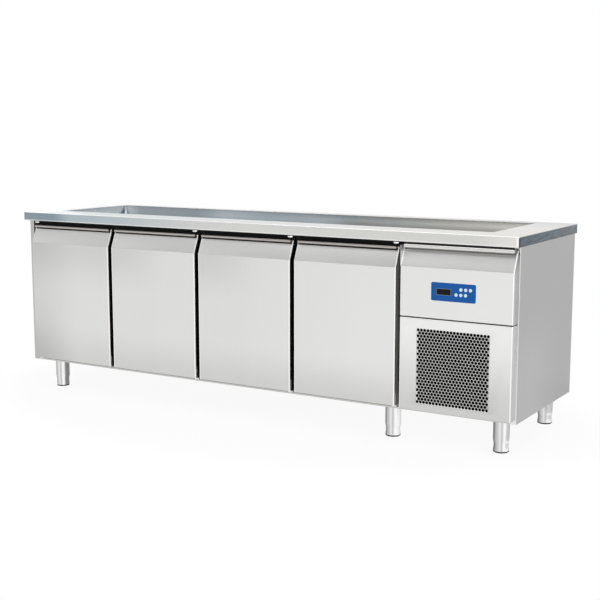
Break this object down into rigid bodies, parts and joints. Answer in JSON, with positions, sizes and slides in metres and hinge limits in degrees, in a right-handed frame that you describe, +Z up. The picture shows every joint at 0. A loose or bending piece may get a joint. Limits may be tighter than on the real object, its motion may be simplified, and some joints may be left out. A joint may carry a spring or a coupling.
{
  "type": "refrigerated buffet counter",
  "caption": "Stainless refrigerated counter with a long pan well, insulated doors with a folded finger grip, and a service bay with controller and perforated grille.",
  "frame": {"origin": "on the floor under the middle of the overall bounding box", "axes": "+X along the counter towards the service bay, +Y from the doors to the back, +Z up"},
  "size_m": [2.5, 0.7164, 0.85],
  "materials": {
    "steel_top": "satin, brushed along the length",
    "steel_well": "satin, bluish reflections",
    "steel_body": "satin, vertical brushing",
    "steel_door": "satin, vertical brushing",
    "door_core": "foamed inner part with steel-coloured lip",
    "seal_rubber": "matt",
    "steel_frame": "satin",
    "steel_liner": "satin",
    "foam": "rigid foam",
    "copper": "drawn tube",
    "chrome_fitting": "bright",
    "steel_shelf": "satin",
    "plastic_light": "matt",
    "fin_aluminium": "bare fins",
    "galvanised": "zinc grey",
    "motor_black": "semi-gloss",
    "fan_black": "matt",
    "compressor_black": "semi-gloss",
    "controller_blue": "semi-gloss foil",
    "display_black": "gloss window",
    "key_light": "semi-gloss",
    "leg_chrome": "polished",
    "gland_black": "matt"
  },
  "bodies": {
    "cabinet": {"worktop": "steel_top", "well_tub": "steel_well", "well_drain": "chrome_fitting", "well_coil": "copper", "well_insulation": "foam", "side_panel_left": "steel_body", "side_panel_right": "steel_body", "back_panel": "steel_body", "base_panel": "steel_body", "top_rail": "steel_frame", "bottom_rail": "steel_frame", "front_posts": "steel_frame", "wall_insulation": "foam", "liner": "steel_liner", "partition_panel": "steel_body", "shelf_supports": "steel_shelf", "wire_shelves": "steel_shelf", "evaporator_housing": "plastic_light", "evaporator_coil": "fin_aluminium", "evaporator_motor": "motor_black", "unit_tray": "galvanised", "condenser_coil": "fin_aluminium", "condenser_shroud": "galvanised", "condenser_motor": "motor_black", "compressor": "compressor_black", "refrigerant_pipes": "copper", "hinge_brackets": "chrome_fitting", "control_panel": "steel_body", "grille_panel": "steel_body", "controller": "controller_blue", "controller_display": "display_black", "leg_tubes": "leg_chrome", "cable_gland": "gland_black"},
    "door_1": {"door_1_skin": "steel_door", "door_1_core": "door_core", "door_1_gasket": "seal_rubber"},
    "door_2": {"door_2_skin": "steel_door", "door_2_core": "door_core", "door_2_gasket": "seal_rubber"},
    "door_3": {"door_3_skin": "steel_door", "door_3_core": "door_core", "door_3_gasket": "seal_rubber"},
    "door_4": {"door_4_skin": "steel_door", "door_4_core": "door_core", "door_4_gasket": "seal_rubber"},
    "button_1": {"button_1": "key_light"},
    "button_2": {"button_2": "key_light"},
    "button_3": {"button_3": "key_light"},
    "button_4": {"button_4": "key_light"},
    "button_5": {"button_5": "key_light"},
    "button_6": {"button_6": "key_light"},
    "foot_1": {"foot_1": "leg_chrome"},
    "foot_2": {"foot_2": "leg_chrome"},
    "foot_3": {"foot_3": "leg_chrome"},
    "foot_4": {"foot_4": "leg_chrome"},
    "foot_5": {"foot_5": "leg_chrome"},
    "foot_6": {"foot_6": "leg_chrome"},
    "condenser_fan": {"condenser_fan": "fan_black"},
    "evaporator_fan": {"evaporator_fan": "fan_black"}
  },
  "joints": [
    {"name": "door_1_hinge", "type": "hinge", "parent": "cabinet", "child": "door_1", "pos_m": [-1.177, -0.32425, 0.147], "axis": [0, 0, -1], "range_deg": [0, 90]},
    {"name": "door_2_hinge", "type": "hinge", "parent": "cabinet", "child": "door_2", "pos_m": [-0.245, -0.32425, 0.147], "axis": [0, 0, 1], "range_deg": [0, 90]},
    {"name": "door_3_hinge", "type": "hinge", "parent": "cabinet", "child": "door_3", "pos_m": [0.245, -0.32425, 0.147], "axis": [0, 0, 1], "range_deg": [0, 90]},
    {"name": "door_4_hinge", "type": "hinge", "parent": "cabinet", "child": "door_4", "pos_m": [0.735, -0.32425, 0.147], "axis": [0, 0, 1], "range_deg": [0, 90]},
    {"name": "button_1_press", "type": "slide", "parent": "cabinet", "child": "button_1", "axis": [0, 1, 0], "range_m": [0, 0.0012], "stiffness_N_per_m": 400},
    {"name": "button_2_press", "type": "slide", "parent": "cabinet", "child": "button_2", "axis": [0, 1, 0], "range_m": [0, 0.0012], "stiffness_N_per_m": 400},
    {"name": "button_3_press", "type": "slide", "parent": "cabinet", "child": "button_3", "axis": [0, 1, 0], "range_m": [0, 0.0012], "stiffness_N_per_m": 400},
    {"name": "button_4_press", "type": "slide", "parent": "cabinet", "child": "button_4", "axis": [0, 1, 0], "range_m": [0, 0.0012], "stiffness_N_per_m": 400},
    {"name": "button_5_press", "type": "slide", "parent": "cabinet", "child": "button_5", "axis": [0, 1, 0], "range_m": [0, 0.0012], "stiffness_N_per_m": 400},
    {"name": "button_6_press", "type": "slide", "parent": "cabinet", "child": "button_6", "axis": [0, 1, 0], "range_m": [0, 0.0012], "stiffness_N_per_m": 400},
    {"name": "condenser_fan_spin", "type": "hinge", "parent": "cabinet", "child": "condenser_fan", "pos_m": [1.01525, -0.16325, 0.2835], "axis": [0, 1, 0], "continuous": true},
    {"name": "evaporator_fan_spin", "type": "hinge", "parent": "cabinet", "child": "evaporator_fan", "pos_m": [0.514, -0.16725, 0.6385], "axis": [0, 1, 0], "continuous": true},
    {"name": "foot_1_level", "type": "slide", "parent": "cabinet", "child": "foot_1", "axis": [0, 0, -1], "range_m": [0, 0.03]},
    {"name": "foot_2_level", "type": "slide", "parent": "cabinet", "child": "foot_2", "axis": [0, 0, -1], "range_m": [0, 0.03]},
    {"name": "foot_3_level", "type": "slide", "parent": "cabinet", "child": "foot_3", "axis": [0, 0, -1], "range_m": [0, 0.03]},
    {"name": "foot_4_level", "type": "slide", "parent": "cabinet", "child": "foot_4", "axis": [0, 0, -1], "range_m": [0, 0.03]},
    {"name": "foot_5_level", "type": "slide", "parent": "cabinet", "child": "foot_5", "axis": [0, 0, -1], "range_m": [0, 0.03]},
    {"name": "foot_6_level", "type": "slide", "parent": "cabinet", "child": "foot_6", "axis": [0, 0, -1], "range_m": [0, 0.03]}
  ]
}
